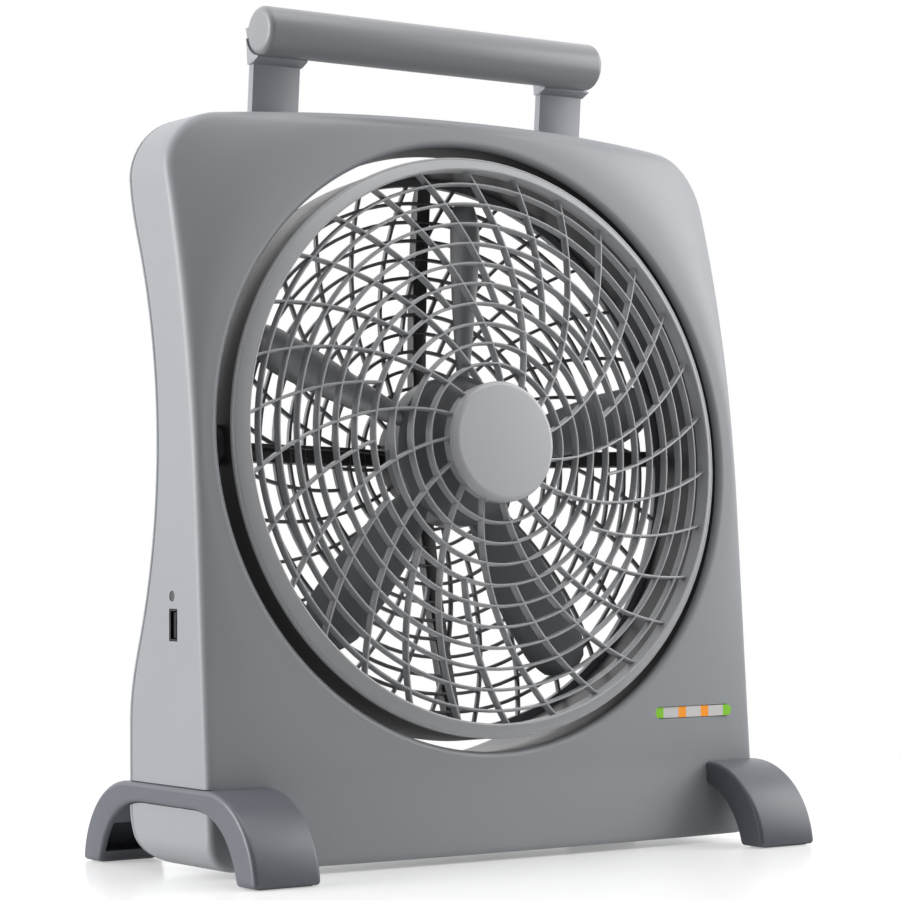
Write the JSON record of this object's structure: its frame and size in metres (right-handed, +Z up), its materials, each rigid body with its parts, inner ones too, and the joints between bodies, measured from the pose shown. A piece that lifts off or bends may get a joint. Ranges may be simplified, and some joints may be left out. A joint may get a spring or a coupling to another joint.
{
  "type": "portable box fan",
  "caption": "Portable battery box fan with a tilting grilled fan head, a fold-back carry handle, a rear battery door and arched feet.",
  "frame": {"origin": "on the floor under the middle of the box", "axes": "+Z up, the front grille faces -Y, +X is to the viewer's right"},
  "size_m": [0.3046, 0.1516, 0.3848],
  "materials": {
    "body_plastic": "satin moulded",
    "trim_plastic": "satin moulded",
    "grip_plastic": "satin moulded",
    "grille_plastic": "semi-gloss moulded",
    "duct_plastic": "semi-gloss moulded",
    "hub_plastic": "satin moulded",
    "rotor_plastic": "semi-gloss moulded",
    "rear_grille_plastic": "satin moulded",
    "pad_rubber": "matt rubber",
    "bright_steel": "plain steel",
    "screw_steel": "blackened steel",
    "motor_steel": "zinc plated",
    "bush_plastic": "natural acetal",
    "inner_plastic": "plain moulded",
    "black_plastic": "plain moulded",
    "circuit_board": "solder mask",
    "lens_plastic": "translucent moulded",
    "led_green": "tinted epoxy",
    "led_orange": "tinted epoxy",
    "led_clear": "tinted epoxy",
    "cell_case": "printed metal case, left plain",
    "wire_cover": "smooth wire cover"
  },
  "bodies": {
    "housing": {"front_housing": "body_plastic", "rear_housing": "body_plastic", "foot_left": "trim_plastic", "foot_right": "trim_plastic", "foot_pad_left_front": "pad_rubber", "foot_pad_left_rear": "pad_rubber", "foot_pad_right_front": "pad_rubber", "foot_pad_right_rear": "pad_rubber", "handle_pin_left": "bright_steel", "handle_pin_right": "bright_steel", "battery_contact": "bright_steel", "battery_spring": "bright_steel", "battery_spring_plate": "bright_steel", "usb_port": "bright_steel", "foot_screw_left_front": "screw_steel", "foot_screw_left_rear": "screw_steel", "foot_screw_right_front": "screw_steel", "foot_screw_right_rear": "screw_steel", "cover_screw_1": "screw_steel", "cover_screw_2": "screw_steel", "cover_screw_3": "screw_steel", "cover_screw_4": "screw_steel", "tilt_bush_left": "bush_plastic", "tilt_bush_right": "bush_plastic", "battery_divider": "inner_plastic", "power_inlet": "black_plastic", "speed_switch": "black_plastic", "led_board": "circuit_board", "usb_board": "circuit_board", "switch_board": "circuit_board", "led_lens": "lens_plastic", "led_1": "led_green", "led_4": "led_green", "led_2": "led_orange", "led_3": "led_orange", "charge_led": "led_clear", "battery_1": "cell_case", "battery_2": "cell_case", "battery_3": "cell_case", "battery_4": "cell_case"},
    "fan_head": {"duct_ring": "duct_plastic", "front_grille": "grille_plastic", "hub_cap": "hub_plastic", "rear_grille": "rear_grille_plastic", "motor": "motor_steel", "motor_screw_left": "screw_steel", "motor_screw_right": "screw_steel", "motor_lead": "wire_cover", "tilt_pin_left": "bright_steel", "tilt_pin_right": "bright_steel"},
    "rotor": {"fan_rotor": "rotor_plastic", "motor_shaft": "bright_steel", "rotor_clip": "bright_steel"},
    "handle": {"handle_grip": "grip_plastic", "handle_arm_left": "trim_plastic", "handle_arm_right": "trim_plastic", "handle_screw_left": "screw_steel", "handle_screw_right": "screw_steel"},
    "battery_door": {"battery_door": "body_plastic"},
    "speed_button": {"speed_button": "trim_plastic"}
  },
  "joints": [
    {"name": "head_tilt", "type": "hinge", "parent": "housing", "child": "fan_head", "pos_m": [0, -0.00946, 0.18481], "axis": [1, 0, 0], "range_deg": [-20, 20]},
    {"name": "fan_spin", "type": "hinge", "parent": "fan_head", "child": "rotor", "pos_m": [0, -0.0244, 0.1862], "axis": [0, -0.9957, 0.0924], "continuous": true},
    {"name": "handle_fold", "type": "hinge", "parent": "housing", "child": "handle", "pos_m": [0, 0.03, 0.326], "axis": [-1, 0, 0], "range_deg": [0, 150]},
    {"name": "battery_door_hinge", "type": "hinge", "parent": "housing", "child": "battery_door", "pos_m": [0, 0.0366, 0.036], "axis": [1, 0, 0], "range_deg": [0, 110]},
    {"name": "speed_button_press", "type": "slide", "parent": "housing", "child": "speed_button", "axis": [-1, 0, 0], "range_m": [0, 0.0012], "stiffness_N_per_m": 1500, "springref_m": -0.0005}
  ]
}
